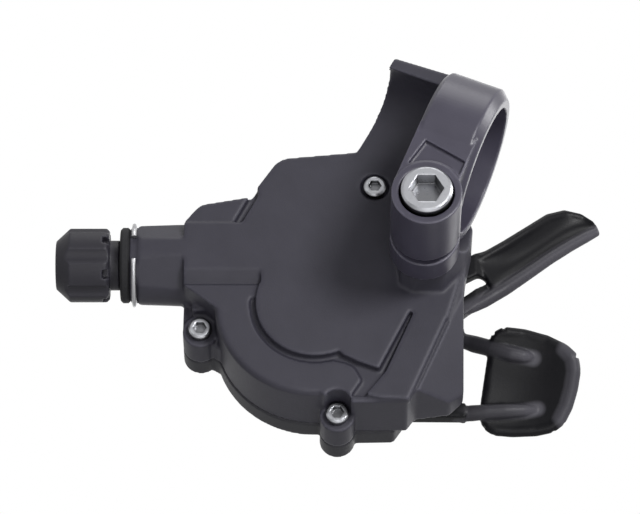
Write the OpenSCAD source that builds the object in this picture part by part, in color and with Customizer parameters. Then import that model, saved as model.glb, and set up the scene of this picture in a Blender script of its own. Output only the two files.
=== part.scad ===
// Trigger shifter for a bicycle handlebar, in millimetres.
// Origin: centre of the handlebar clamp. X runs from the cable outlet towards the levers,
// Y runs from the clamp through the housing to the levers, along the main pivot.

/* [Handlebar clamp] */
// Diameter of the handlebar that the clamp grips
bar_d = 22.2; // [22.0:0.1:22.4]
// Tilt of the handlebar, right end down
bar_tilt = 22; // [18:1:24]
// Outer radius of the clamp band
band_r = 14; // [13.6:0.1:14.2]
// Width of the clamp band
band_w = 10.8; // [10:0.2:11]
// Reach of the lip beside the band, from the clamp's centre
lip_reach = 15.9; // [15:0.1:16.2]
// Radius of the lip at its far end
lip_r = 13.5; // [13.2:0.1:13.8]
// Distance of the lip's edge in front of the handlebar's axis
lip_front = 3.5; // [2:0.1:4]
// Width of the bevel on the band's outboard rim
band_bevel = 1.4; // [0.6:0.1:1.6]
// Distance of the clamp bolt from the handlebar's axis
bolt_drop = 14.8; // [14.6:0.1:15.2]
// Shift of the clamp bolt along the handlebar
bolt_shift = 0.6; // [0:0.1:1]
// Radius of the round boss at the bolt
ear_r = 5.9; // [5.6:0.1:6.1]
// Distance of the near boss's face in front of the handlebar's axis
ear_front = 14; // [13.4:0.2:14.4]
// Depth of the bolt head's seat below the near boss's face
head_sink = 3.2; // [2.6:0.1:3.6]
// Gap between the two bosses
ear_gap = 1.6; // [1:0.1:2]
// Depth of the far boss behind the gap
ear_back = 5.2; // [4.8:0.1:5.4]

/* [Clamp bolt] */
// Radius of the clamp bolt's shank
bolt_r = 2.5; // [2.4:0.05:2.6]
// Radius of the clamp bolt's head
bolt_head_r = 4.3; // [4:0.05:4.4]
// Height of the clamp bolt's head
bolt_head_h = 4.6; // [4:0.1:5]
// Width across the flats of the bolt's socket
bolt_key = 5; // [4:0.5:5]
// Width across the flats of the clamp nut
nut_w = 8; // [7.6:0.1:8.2]
// Thickness of the clamp nut
nut_h = 2.7; // [2.4:0.1:2.8]

/* [Housing] */
// Distance of the main pivot inboard of the clamp's centre
pivot_in = 23.5; // [23:0.1:24]
// Distance of the main pivot below the clamp's centre
pivot_down = 21.1; // [20.8:0.1:21.6]
// Distance of the ring band behind the handlebar's axis
face_back = 12.3; // [12.2:0.1:12.8]
// Radius of the round body
body_r = 17; // [16.8:0.1:17.2]
// Depth of the housing behind the ring band
body_depth = 11.5; // [11.3:0.1:11.8]
// How far the front face stands out from the ring band
plateau_h = 0.85; // [0.6:0.05:1.1]
// Radius of the raised disc on the front face
plateau_r = 10.1; // [9.6:0.1:10.4]
// Width of the groove round the raised disc
groove_w = 1; // [0.7:0.1:1.2]
// Depth of the groove below the ring band
groove_d = 0.7; // [0.4:0.1:0.9]
// Outer radius of the ring band
ring_r = 16.4; // [16:0.1:16.6]
// Thickness of the housing's front wall
wall = 1.9; // [1.7:0.1:2.1]
// Distance of the right side wall from the main pivot
side_x = 25.3; // [25:0.1:25.8]

/* [Base cover] */
// Depth of the base cover
base_depth = 5; // [4.8:0.1:5.2]
// Thickness of the base cover's floor
base_floor = 1.5; // [1.3:0.1:1.7]
// Width of the rounded rim round the base cover
base_rim = 0.6; // [0.4:0.1:0.8]

/* [Cable outlet] */
// Height of the cable's line above the main pivot
cable_up = 10.5; // [10.4:0.1:10.8]
// Depth of the cable's line behind the ring band
cable_y = 6; // [5.9:0.1:6.1]
// Distance of the outlet's mouth from the main pivot
snout_end = 30.2; // [29:0.2:31]
// Radius of the outlet at its mouth
snout_r = 6.8; // [6.6:0.1:7]
// Radius of the outlet where it meets the body
snout_root_r = 7.5; // [7.2:0.1:7.6]
// Radius of the adjuster's threaded barrel
barrel_r = 3.4; // [3:0.1:3.5]
// Length of the barrel inside the outlet
barrel_in = 12; // [9:0.5:13]
// Radius of the adjuster's knob
knob_r = 6.35; // [6:0.05:6.6]
// Length of the adjuster's knob
knob_w = 9.2; // [8.4:0.1:9.8]
// Number of grip flutes round the knob
knob_flutes = 6; // [4:1:8]
// Length of the collar between the knob and the seal
collar_w = 1.7; // [1.2:0.1:2]
// Radius of the collar
collar_r = 4.3; // [4.1:0.1:4.6]
// Radius of the rubber seal
seal_r = 6.5; // [6.2:0.1:6.7]
// Thickness of the rubber seal
seal_w = 1.7; // [1.4:0.1:2]
// Radius of the round wire in the clip
clip_wire_r = 0.45; // [0.35:0.05:0.5]
// Radius of the cable housing's seat in the adjuster
port_r = 2.55; // [2.5:0.05:2.6]
// Depth of the cable housing's seat
port_depth = 7; // [6:0.5:8]
// Radius of the hole for the inner cable
cable_hole_r = 0.9; // [0.8:0.05:1]

/* [Spool and ratchets] */
// Radius of the main axle
axle_r = 3; // [2.8:0.05:3.1]
// Running clearance on the axles
run_gap = 0.05; // [0.04:0.01:0.08]
// Radius of the spool's flange
spool_r = 12.2; // [12:0.1:12.4]
// Radius of the inner cable
cable_r = 0.6; // [0.55:0.05:0.6]
// Width of the spool
spool_w = 4.8; // [4.6:0.1:5]
// Thickness of each toothed plate
ratchet_w = 1.3; // [1.2:0.05:1.3]
// Tip radius of the holding teeth
hold_r = 12.6; // [12.4:0.1:12.8]
// Tip radius of the driving teeth
drive_r = 9.6; // [9.4:0.1:9.8]
// Depth of the ratchet teeth
tooth_d = 1.6; // [1.3:0.1:1.8]
// Number of gears that the spool indexes
gears = 3; // [2:1:3]
// Angle that the spool turns for one gear
gear_step = 30; // [28:1:32]

/* [Levers] */
// Radius of the pull lever's hub
hub_r = 12.7; // [12:0.1:13]
// Thickness of the pull lever's hub and arms
hub_w = 2.8; // [2.4:0.1:3]
// Width of the pull lever's arms
arm_w = 2.6; // [2.2:0.1:3]
// Reach of the pull lever's paddle from the main pivot
paddle_reach = 45.9; // [45:0.1:46.4]
// Length of the pull lever's paddle
paddle_len = 15; // [14.6:0.1:15.2]
// Thickness of the levers' pads
pad_t = 2; // [1.8:0.1:2.4]
// Reach of the release lever from the main pivot
release_reach = 50.5; // [50:0.1:51]
// Thickness of the release lever's root plate
release_w = 2; // [1.8:0.1:2]

/* [Screws] */
// Radius of the cover screws' heads
screw_head_r = 1.95; // [1.8:0.05:2]
// Height of the cover screws' heads
screw_head_h = 1.4; // [1.2:0.1:1.6]
// Radius of the cover screws' shanks
screw_r = 1.25; // [1.1:0.05:1.3]
// Width across the flats of the cover screws' sockets
screw_key = 2; // [1.5:0.1:2.2]
// Radius of the screw bosses
boss_r = 3; // [2.8:0.1:3.1]
// Depth of the two lower boss faces behind the ring band
boss_back = 5.5; // [5:0.1:6]
// Depth of the upper screw's seat below the front face
upper_sink = 0.9; // [0.6:0.1:1.2]

/* [Hidden] */

eps = 0.01;
fine = 96;
medium = 48;
coarse = 24;

// Depths of the layers behind the ring band
base_y = body_depth;
base_back = base_y + base_depth;
floor_y = base_back - base_floor;
spool_y = cable_y - 2.8;
hold_y = spool_y + spool_w;
drive_y = hold_y + ratchet_w;
carrier_y = drive_y + ratchet_w + 0.5;
carrier_w = 1.3;
hub_y = base_back + 0.4;
hub_back = hub_y + hub_w;

// Cable and spool
groove_r = cable_up - cable_r;

// Clearances
seat_gap = 0.15;
body_gap = 0.3;
spring_gap = 0.3;

// Distance of the base cover's left edge from the main pivot
cover_left = 22.5;

// Adjuster, measured along the cable from the main pivot
mouth_x = -snout_end - 1.5;
seal_x = mouth_x - seal_w;
collar_x = seal_x - 0.2 - collar_w;
knob_x = collar_x - knob_w;
barrel_end = -snout_end + barrel_in;

// Clamp, measured along the handlebar
lip_left = -lip_reach;
band_left = -band_w / 2;
band_right = band_w / 2;
bar_bore_r = bar_d / 2;
saddle_r = bar_bore_r + body_gap;
ear_y = ear_gap / 2;
ear_end = ear_y + ear_back;
head_seat_y = -ear_front + head_sink;

// Hollow ball that the paddle is cut from and tube that the release blade is cut from
paddle_lean = 28;
paddle_ball_r = 30;
paddle_y = 12.8;
blade_tube_r = 12.4;
blade_angle = 31;
blade_lean = 6;
blade_y = 16.2;

// Places on the front face, measured from the main pivot, and the bolt's from the clamp
screw_left = [-19.6, -2.4];
screw_bottom = [3.8, -18.4];
screw_upper = [10.3, 22.2];
hold_pin_at = [15.9, 9.0];
release_pin_at = [16.5, 3.2];
pin_r = 1.2;
hub_neck_r = 4.6;
hub_flats = 7.8;
release_y = base_y + body_gap;
nose_angle = -1.5;
drive_nose_angle = 181;
bolt_at = [
    bolt_shift * cos(bar_tilt) - bolt_drop * sin(bar_tilt),
    -bolt_shift * sin(bar_tilt) - bolt_drop * cos(bar_tilt)
];
drive_pin_angle = 205;
drive_pin_ring = 12.2;
drive_pin_r = 0.8;
drive_pin_at = drive_pin_ring * [cos(drive_pin_angle), sin(drive_pin_angle)];

// Colours
black_plastic = [0.26, 0.26, 0.29];
dark_plastic = [0.13, 0.13, 0.14];
painted = [0.32, 0.31, 0.36];
steel = [0.78, 0.78, 0.8];
dull_steel = [0.6, 0.6, 0.62];
brass_tone = [0.72, 0.6, 0.35];
rubber_black = [0.07, 0.07, 0.08];

// Points of the arc that rounds the corner at b, which is given as [x, z, radius]
function corner_arc(a, b, c, steps = 5) =
    let(
        p = [b[0], b[1]],
        u = ([a[0], a[1]] - p) / norm([a[0], a[1]] - p),
        v = ([c[0], c[1]] - p) / norm([c[0], c[1]] - p),
        half = acos(u * v) / 2,
        middle = (u + v) / norm(u + v),
        centre = p + middle * b[2] / sin(half),
        from = p + u * b[2] / tan(half) - centre,
        to = p + v * b[2] / tan(half) - centre
    )
    [for (i = [0:steps])
        let(w = from * (1 - i / steps) + to * i / steps)
        centre + w * b[2] / norm(w)];

// Outline through [x, z, radius] corners, each rounded by its own radius
function rounded(points) = [
    for (i = [0:len(points) - 1])
        let(
            n = len(points),
            b = points[i],
            arc = b[2] == 0 ? [[b[0], b[1]]] : corner_arc(points[(i + n - 1) % n], b, points[(i + 1) % n])
        )
        each arc
];

// Outline of a ratchet whose saw teeth have their steep side counter-clockwise
function saw_teeth(tip, depth, step, first) = [
    for (i = [0:round(360 / step) - 1])
        let(a = first + i * step)
        each [
            tip * [cos(a), sin(a)],
            (tip - depth) * [cos(a + step * 0.08), sin(a + step * 0.08)],
            (tip - depth) * [cos(a + step * 0.25), sin(a + step * 0.25)]
        ]
];

// Points of a flat spiral from radius r0 to radius r1
function spiral(r0, r1, turns, steps = 60) = [
    for (i = [0:steps])
        let(a = 360 * turns * i / steps, r = r0 + (r1 - r0) * i / steps)
        r * [cos(a), sin(a)]
];

// Places a child drawn about the main pivot
module at_pivot() {
    translate([-pivot_in, face_back, -pivot_down]) children();
}

// Places a child drawn along the handlebar: x outboard, y back, z up
module along_bar() {
    rotate([0, bar_tilt, 0]) children();
}

// Extrudes an x, z outline from depth y0 to depth y1
module slab(y0, y1) {
    translate([0, y1, 0]) rotate([90, 0, 0]) linear_extrude(y1 - y0) children();
}

// Straight round rod or hole from depth y0 to depth y1
module rod(at, y0, y1, r, sides = medium) {
    translate([at[0], y1, at[1]]) rotate([90, 0, 0]) cylinder(h = y1 - y0, r = r, $fn = sides);
}

// Round rod or hole along x
module cross_rod(x0, x1, r, r1 = -1, sides = fine) {
    translate([x0, 0, 0]) rotate([0, 90, 0])
        cylinder(h = x1 - x0, r1 = r, r2 = r1 < 0 ? r : r1, $fn = sides);
}

// Hexagonal socket or nut from depth y0 to depth y1, given across its flats
module hexagon(at, y0, y1, flats) {
    translate([at[0], y1, at[1]]) rotate([90, 0, 0])
        cylinder(h = y1 - y0, r = flats / sqrt(3), $fn = 6);
}

// Outline of the body above the cable outlet, in x, z from the main pivot
upper_outline = [
    [-22.4, 3.7, 0], [-22.4, 15.7, 1.2], [-19.8, 19, 3], [-11, 20.6, 1.5], [-6.2, 27.8, 4],
    [7.2, 29.1, 1], [21.5, 29.1, 3], [27.2, 15, 3], [26, 9, 2], [side_x, 3, 3],
    [side_x, -13.2, 1.5], [22.8, -15.6, 1.5], [17, -16.4, 1], [15.5, -18.5, 0.4], [3, -18.6, 0], [-10, -6, 0]
];

// Outline of the raised plateau that meets the ring band's groove
plateau_outline = [
    [-22.4, 3.7, 0], [-22.4, 15.7, 1.2], [-19.8, 19, 3], [-11, 20.6, 1.5], [-6.2, 27.8, 4],
    [7.2, 29.1, 1], [21.5, 29.1, 3], [27.2, 15, 3], [26, 9, 2], [22.6, -2.6, 0],
    [15.9, -18.4, 0.5], [11, -18.1, 0.6], [8.5, -17.5, 0.4], [11.9, -13.1, 0], [10.9, -12.8, 0], [5.2, -10.4, 1],
    [0, -6, 0], [-9, 3.7, 0]
];

// Foot of the clamp's root on the front face, behind the band
root_foot = [[20.8, 28.8], [13.6, 10], [14.6, 3], [16.5, 1.8], [21.5, 1.8], [25.2, 6], [27, 14.5], [21.5, 28.8]];

// Foot of the lip that cups the handlebar beside the band
lip_foot = [[7.2, 29], [6.9, 27.8], [18.5, 23.2], [20.5, 28.6]];

module flat_outline(points) {
    polygon(rounded(points));
}

// Round mouth, tapered body and flats of the cable outlet
module snout() {
    translate([0, cable_y, cable_up]) difference() {
        union() {
            cross_rod(-snout_end, -9, snout_r, snout_root_r);
            cross_rod(mouth_x, -snout_end + eps, seal_r - 0.1);
        }
        // Front flat, level with the plateau
        translate([-snout_end - 3, -cable_y - plateau_h - 3, -snout_r])
            cube([snout_end, 3, 2 * snout_r]);
        // Room for the base cover
        translate([-cover_left - seat_gap, body_depth - cable_y, -snout_root_r - 1])
            cube([cover_left, snout_root_r, 2 * snout_root_r + 2]);
        // Upper and lower flats
        for (side = [-1, 1])
            rotate([-side * 38, 0, 0]) translate([-snout_end - 3, -snout_r - 2.55, -snout_r])
                cube([snout_end, 3, 2 * snout_r]);
    }
}

// Root that carries the clamp in front of the housing, and the lip that cups the handlebar
module neck() {
    beside = band_left - seat_gap;
    difference() {
        union() {
            hull() {
                at_pivot() slab(-plateau_h, 0) polygon(root_foot);
                along_bar() cross_rod(band_left, band_right - 0.6, band_r - 0.9, -1, 40);
            }
            hull() {
                at_pivot() slab(-plateau_h, 1) polygon(lip_foot);
                along_bar() cross_rod(lip_left, band_left + 0.4, lip_r, band_r, 40);
            }
        }
        along_bar() {
            cross_rod(lip_left - 30, band_left + 1, saddle_r);
            // Open front of the lip, and the flat face below it
            translate([beside - 60, -60, 0]) cube([60, 60 - lip_front, 60]);
            translate([beside - 60, -60, -60]) cube([60, 60 + face_back - plateau_h, 60 + eps]);
        }
        rod(bolt_at, -band_r, ear_end + seat_gap, ear_r + seat_gap);
        rod(bolt_at, ear_end, ear_end + 5.2, bolt_r + body_gap);
    }
}

// Space for the spool and the pawls, open at the back
module cavity(y0, y1, r) {
    slab(y0, y1) circle(r = r, $fn = fine);
}

module side_space(y0, y1) {
    slab(y0, y1) polygon([[0, -14.6], [12.6, -15.6], [21.4, -10.8], [21.4, 9.6], [19, 13.4], [6, 13.4]]);
}

module housing() {
    color(black_plastic) difference() {
        union() {
            at_pivot() difference() {
                union() {
                    slab(0.7, body_depth) circle(r = body_r, $fn = fine);
                    translate([0, 0.7, 0]) rotate([90, 0, 0])
                        cylinder(h = 0.7, r1 = body_r, r2 = ring_r, $fn = fine);
                    slab(0, body_depth) flat_outline(upper_outline);
                    slab(-plateau_h, 1) flat_outline(plateau_outline);
                    slab(-plateau_h, 1) circle(r = plateau_r, $fn = fine);
                    rod(screw_left, boss_back, body_depth, boss_r);
                    rod(screw_bottom, boss_back, body_depth, boss_r);
                    slab(boss_back + 1, body_depth)
                        polygon([[-22.6, -2.4], [-22.4, 8], [-12, 8], [-12, -8], [-17.5, -4.6]]);
                    slab(boss_back, body_depth)
                        polygon([[1.6, -20.6], [0.8, -15], [6.8, -15], [6.3, -20]]);
                    snout();
                    // Small block in the recess under the outlet
                    slab(4, boss_back + 2) polygon([[-21, 0.8], [-17.7, 0.8], [-17.7, 3.3], [-21, 3.3]]);
                }
                // Groove between the raised disc and the ring band
                slab(-plateau_h - 1, groove_d) difference() {
                    circle(r = plateau_r + groove_w, $fn = fine);
                    circle(r = plateau_r, $fn = fine);
                    polygon([[-30, 3.4], [-30, 30], [30, 30], [30, -8], [9, -8.8], [4.4, -9.6], [0, 0]]);
                }
                // Curved end of the groove, the wedge and the line on the strip's left
                slab(-plateau_h - 1, groove_d) flat_outline([
                    [3.2, -9.6, 0], [5.3, -10.2, 1.5], [7.4, -11.3, 2], [10.8, -12.6, 0.2], [16.2, -1.6, 0.2],
                    [16.8, -1.8, 0.2], [11.9, -13.2, 1], [8.5, -17.5, 0.3], [5.9, -17.5, 0.3], [7.9, -14.4, 0.4],
                    [6.6, -11.9, 1.5], [4.9, -11.1, 1.5], [3.2, -10.9, 0]
                ]);
                // Line on the strip's right
                slab(-plateau_h - 1, groove_d - 0.4)
                    polygon([[15.5, -18.9], [16.1, -18.9], [22.8, -3.2], [22.3, -3]]);
                // Side facet that falls away towards the levers
                translate([22.6, -plateau_h, -3]) rotate([0, 23.8, 0]) rotate([0, 0, 54])
                    translate([-1, -9, -22]) cube([22, 9, 28]);
                // Lower field above the outlet and the slanted notch beside it
                slab(-plateau_h - 1, 0.45 - plateau_h)
                    polygon([[-23, 15.4], [-14, 15.4], [-11.2, 20.4], [-12, 24], [-23, 24]]);
                slab(-plateau_h - 1, groove_d)
                    polygon([[-14, 15.4], [-12.5, 15.4], [-9.7, 20.6], [-9.8, 22], [-11.4, 22], [-11.4, 20.4]]);
                // Slope under the outlet, down to the ring band's upper edge
                translate([-23, 0, 0]) rotate([90, 0, 90]) linear_extrude(23 - plateau_r + 0.9)
                    polygon([[-3, 6.3], [-plateau_h, 6.3], [wall - 0.9, 3.7], [-3, 3.7]]);
                cavity(wall, body_depth + 1, 15);
                side_space(7.4, body_depth + 1);
                // Bore for the adjuster and hole for the cable
                translate([0, cable_y, cable_up]) {
                    cross_rod(mouth_x - 1, barrel_end + 0.5, barrel_r + run_gap);
                    cross_rod(-snout_end, -9, cable_hole_r, -1, coarse);
                }
                // Screw holes
                rod(screw_left, 0, body_depth + 1, screw_r + seat_gap, coarse);
                rod(screw_bottom, 0, body_depth + 1, screw_r + seat_gap, coarse);
                rod(screw_left, -2, boss_back, screw_head_r + 0.35);
                rod(screw_bottom, -2, boss_back, screw_head_r + 0.35);
            }
            at_pivot() rod([0, 0], 1, wall + 1, axle_r + 2);
            neck();
        }
        // Seat of the clamp band
        along_bar() cross_rod(band_left - seat_gap, band_right + 12, band_r + seat_gap);
        at_pivot() {
            rod([0, 0], 0.6, body_depth, axle_r);
            rod(screw_upper, -5, -plateau_h + upper_sink, screw_head_r + 0.5);
            rod(screw_upper, -5, body_depth + 1, screw_r + seat_gap, coarse);
        }
    }
}

module base_cover() {
    color(dark_plastic) at_pivot() difference() {
        union() {
            slab(base_y, base_back - base_rim) base_shape(0);
            slab(base_y + 1, base_back) base_shape(base_rim);
        }
        slab(base_y - 1, floor_y) circle(r = 15.2, $fn = fine);
        slab(base_y - 1, floor_y)
            polygon([[0, -14.8], [12.2, -15.8], [14.6, -12.6], [23.2, -10], [23.2, 11.5], [19, 14.5], [6, 14.5]]);
        // Way out for the release lever
        slab(base_y - 1, base_y + release_w + 0.9) polygon([[20, -5.5], [30, -7.5], [30, 19], [20, 13.5]]);
        // Hole for the pull lever's hub
        rod([0, 0], floor_y - 1, base_back + 1, hub_neck_r + body_gap, fine);
        rod(hold_pin_at, floor_y - 1, base_back + 1, pin_r);
        rod(release_pin_at, floor_y - 1, base_back + 1, pin_r);
        rod(screw_left, base_y - 1, base_back - 1.2, screw_r, coarse);
        rod(screw_bottom, base_y - 1, base_back - 1.2, screw_r, coarse);
        rod(screw_upper, base_y - 1, base_back - 1.2, screw_r, coarse);
    }
}

// Outline of the base cover: round body, screw lobes, upper part and lever side
module base_shape(inset) {
    circle(r = body_r + 0.2 - inset, $fn = fine);
    for (at = [screw_left, screw_bottom, screw_upper])
        translate(at) circle(r = boss_r - inset, $fn = medium);
    flat_outline([
        [-22.4 + inset, 2, 0], [-22.4 + inset, 12, 1], [-14, 18 - inset, 3], [-5.6, 26 - inset, 4],
        [12, 26.6 - inset, 3], [24.5 - inset, 14.6, 3], [side_x - inset, 8, 2], [side_x - inset, -9, 2],
        [23.6, -11.4 + inset, 1.5], [16.6 - inset, -13.8, 1], [13.4 - inset, -18.6 + inset, 0.8],
        [3, -18.9 + inset, 0], [-10, -6, 0]
    ]);
    flat_outline([[-22.5 + inset, -2.4, 0], [-22.4 + inset, 8, 0], [-12, 8, 0], [-12, -8, 0], [-17.5, -4.6, 0]]);
}

module clamp_band() {
    color(painted) difference() {
        union() {
            along_bar() rotate([0, 90, 0]) rotate_extrude($fn = fine) polygon([
                [bar_bore_r, band_left], [band_r - 0.7, band_left], [band_r, band_left + 0.7],
                [band_r, band_right - band_bevel], [band_r - band_bevel, band_right], [bar_bore_r, band_right]
            ]);
            // Flat front wall between the ring and the near boss
            along_bar() translate([band_left, -ear_front + 0.5, -bolt_drop])
                cube([band_w - band_bevel / 2, ear_front - 4, bolt_drop - 2]);
            rod(bolt_at, -ear_front, -ear_y, ear_r, fine);
            rod(bolt_at, ear_y, ear_end, ear_r, fine);
        }
        along_bar() cross_rod(-30, 30, bar_bore_r);
        // Split between the bosses
        along_bar() translate([band_left - 5, -ear_y, -bolt_drop - ear_r - 2])
            cube([band_w + 10, ear_gap, ear_r + bolt_drop - bar_bore_r + 4]);
        // Pocket above the near boss
        along_bar() slab(-ear_front - 1, -ear_front + 1.3) difference() {
            polygon([
                [-band_w * 0.42, ear_r - bolt_drop - 2.2], [band_w * 0.4, ear_r - bolt_drop - 2.2],
                [band_w * 0.4, ear_r - bolt_drop + 2.2], [-band_w * 0.3, ear_r - bolt_drop + 3.6]
            ]);
            translate([bolt_shift, -bolt_drop]) circle(r = ear_r + 0.5, $fn = fine);
        }
        rod(bolt_at, -ear_front - 1, ear_end + 1, bolt_r + 0.25);
        rod(bolt_at, -ear_front - 1, head_seat_y, bolt_head_r + 0.35, fine);
        along_bar() hexagon([bolt_shift, -bolt_drop], ear_end - nut_h, ear_end + 1, nut_w + 0.1);
    }
}

module clamp_bolt() {
    color(steel) difference() {
        union() {
            rod(bolt_at, head_seat_y - eps, ear_end + 4.4, bolt_r);
            rod(bolt_at, head_seat_y - bolt_head_h + 0.4, head_seat_y, bolt_head_r, fine);
            translate([bolt_at[0], head_seat_y - bolt_head_h + 0.4, bolt_at[1]]) rotate([90, 0, 0])
                cylinder(h = 0.4, r1 = bolt_head_r, r2 = bolt_head_r - 0.4, $fn = fine);
        }
        hexagon(bolt_at, head_seat_y - bolt_head_h - 1, head_seat_y - bolt_head_h + 2.8, bolt_key);
    }
}

module clamp_nut() {
    color(dull_steel) difference() {
        along_bar() hexagon([bolt_shift, -bolt_drop], ear_end - nut_h, ear_end, nut_w);
        rod(bolt_at, -1, ear_end + 1, bolt_r);
    }
}

// Cap screw with its seat at depth y and a shank of the given length
module cover_screw(at, y, length) {
    color(steel) at_pivot() difference() {
        union() {
            rod(at, y - eps, y + length, screw_r, coarse);
            rod(at, y - screw_head_h + 0.3, y, screw_head_r);
            translate([at[0], y - screw_head_h + 0.3, at[1]]) rotate([90, 0, 0])
                cylinder(h = 0.3, r1 = screw_head_r, r2 = screw_head_r - 0.3, $fn = medium);
        }
        hexagon(at, y - screw_head_h - 1, y - 0.4, screw_key);
    }
}

module cover_screw_left() {
    cover_screw(screw_left, boss_back, base_back - 1.4 - boss_back);
}

module cover_screw_bottom() {
    cover_screw(screw_bottom, boss_back, base_back - 1.4 - boss_back);
}

module cover_screw_upper() {
    cover_screw(screw_upper, upper_sink - plateau_h, base_back - 1.4 + plateau_h - upper_sink);
}

// Places a child on the cable's line, drawn along x
module on_cable() {
    at_pivot() translate([0, cable_y, cable_up]) children();
}

module barrel_adjuster() {
    color(dark_plastic) on_cable() difference() {
        union() {
            // Knob with a bevelled outer end
            rotate([0, 90, 0]) rotate_extrude($fn = fine) polygon([
                [0, knob_x], [knob_r - 2.2, knob_x], [knob_r, knob_x + 2.4],
                [knob_r, collar_x - 0.5], [knob_r - 0.5, collar_x], [0, collar_x]
            ]);
            cross_rod(collar_x - eps, collar_x + collar_w, collar_r);
            cross_rod(collar_x, barrel_end, barrel_r);
        }
        // Grip flutes
        for (i = [0:knob_flutes - 1])
            rotate([i * 360 / knob_flutes + 12, 0, 0]) translate([0, -knob_r - 1.3, 0])
                cross_rod(knob_x - 1, collar_x + eps, 1.9, -1, coarse);
        // Detent notches on the knob's inner face
        for (i = [0:knob_flutes - 1])
            rotate([(i + 0.5) * 360 / knob_flutes + 12, 0, 0])
                translate([collar_x - 1.1, -knob_r - 1, -0.8]) cube([2, 2.6, 1.6]);
        cross_rod(knob_x - 1, knob_x + port_depth, port_r, -1, medium);
        cross_rod(knob_x, barrel_end + 1, cable_hole_r, -1, coarse);
    }
}

module adjuster_seal() {
    color(rubber_black) on_cable() rotate([0, 90, 0]) rotate_extrude($fn = fine) polygon([
        [barrel_r + body_gap, seal_x], [seal_r - 0.4, seal_x], [seal_r, seal_x + 0.4],
        [seal_r, mouth_x - 0.4], [seal_r - 0.4, mouth_x], [barrel_r + body_gap, mouth_x]
    ]);
}

// Open wire ring round the outlet's mouth
module adjuster_clip() {
    color(steel) on_cable() translate([mouth_x + 0.75, 0, 0]) rotate([0, 90, 0]) rotate([0, 0, 108 + 180])
        rotate_extrude(angle = 324, $fn = medium)
            translate([seal_r - 0.1 + clip_wire_r, 0]) circle(r = clip_wire_r, $fn = 16);
}

module main_axle() {
    color(steel) at_pivot() difference() {
        rod([0, 0], 0.6, hub_back - 0.2, axle_r);
        rod([0, 0], hub_back - 8, hub_back + 1, 1.5, coarse);
    }
}

module cable_spool() {
    color(dull_steel) at_pivot() difference() {
        translate([0, spool_y, 0]) rotate([-90, 0, 0]) rotate_extrude($fn = fine) polygon([
            [axle_r + run_gap, 0], [spool_r, 0], [spool_r, 0.9],
            [groove_r, cable_y - spool_y - cable_r], [groove_r, cable_y - spool_y + cable_r],
            [spool_r, spool_w - 0.6], [spool_r, spool_w], [axle_r + run_gap, spool_w]
        ]);
        // Seat of the cable's barrel end, and the slot that lets the cable in
        rod([-8.6 * cos(40), -8.6 * sin(40)], spool_y - 1, cable_y + 1.6, 2.1);
        translate([0, cable_y, 0]) rotate([0, 40, 0]) translate([-spool_r - 1, -3.5, -cable_r - 0.1])
            cube([5, 3.5 + cable_r, 2 * cable_r + 0.2]);
    }
}

module hold_ratchet() {
    color(steel) at_pivot() difference() {
        slab(hold_y, drive_y) difference() {
            circle(r = hold_r, $fn = fine);
            for (i = [1:gears - 1])
                rotate(nose_angle - 3 + i * gear_step) polygon([
                    [hold_r + 1, 0], [hold_r - tooth_d, 0], [hold_r - tooth_d, 1.5], [hold_r + 1, 5]
                ]);
        }
        rod([0, 0], hold_y - 1, drive_y + 1, axle_r + run_gap);
    }
}

module drive_ratchet() {
    color(steel) at_pivot() difference() {
        slab(drive_y, drive_y + ratchet_w)
            polygon(saw_teeth(drive_r, tooth_d, gear_step, drive_nose_angle - 12));
        rod([0, 0], drive_y - 1, drive_y + 3, axle_r + run_gap);
    }
}

// Flat spiral that winds the spool back
module spool_spring() {
    strip = 0.45;
    color(dull_steel) at_pivot() slab(wall + 0.15, spool_y - 0.15)
        polygon(concat(
            spiral(5.3, 10.4, 3.2),
            [for (i = [60:-1:0]) spiral(5.3 + strip, 10.4 + strip, 3.2)[i]]
        ));
}

// Straight outline with round ends between two points
module link(a, b, r0, r1) {
    hull() {
        translate(a) circle(r = r0, $fn = coarse);
        translate(b) circle(r = r1, $fn = coarse);
    }
}

module hold_pawl() {
    nose = (hold_r + 0.12) * [cos(nose_angle), sin(nose_angle)];
    color(steel) at_pivot() difference() {
        slab(hold_y + 0.1, drive_y - 0.1) {
            translate(hold_pin_at) circle(r = 2.3, $fn = medium);
            polygon([
                hold_pin_at + [-2, 1.1], nose + [0, 1.9], nose, nose + [1.7, -0.5],
                nose + [2.6, 2.4], hold_pin_at + [2.2, -0.6]
            ]);
        }
        rod(hold_pin_at, 0, base_back, pin_r + run_gap);
    }
}

module hold_pawl_pin() {
    color(steel) at_pivot() rod(hold_pin_at, 7.6, base_back - 0.1, pin_r);
}

module release_pin() {
    color(steel) at_pivot() rod(release_pin_at, drive_y + 0.2, base_back - 0.1, pin_r);
}

// Round-wire coil along y with its ends cut square and a gap between its turns
module coil(at, y0, y1, r, wire) {
    steps = 16;
    sides = 8;
    count = floor(steps * (y1 - y0 - 2 * wire) / (2.35 * wire));
    rings = [
        for (i = [0:count])
            let(a = 360 * i / steps, y = y0 + wire + (y1 - y0 - 2 * wire) * i / count)
            [for (j = [0:sides - 1])
                let(b = 360 * j / sides, q = r + wire * cos(b))
                [at[0] + q * cos(a), y + wire * sin(b), at[1] + q * sin(a)]]
    ];
    polyhedron(
        points = [for (ring = rings) each ring],
        faces = concat(
            [[for (j = [0:sides - 1]) j]],
            [[for (j = [sides - 1:-1:0]) count * sides + j]],
            [for (i = [0:count - 1], j = [0:sides - 1])
                [i * sides + j, (i + 1) * sides + j,
                 (i + 1) * sides + (j + 1) % sides, i * sides + (j + 1) % sides]]
        )
    );
}

module hold_pawl_spring() {
    color(dull_steel) at_pivot() coil(hold_pin_at, drive_y + spring_gap, base_y - spring_gap, pin_r + 0.55, 0.25);
}

module release_spring() {
    color(dull_steel) at_pivot()
        coil(release_pin_at, drive_y + spring_gap, release_y - spring_gap, pin_r + 0.55, 0.25);
}

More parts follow.
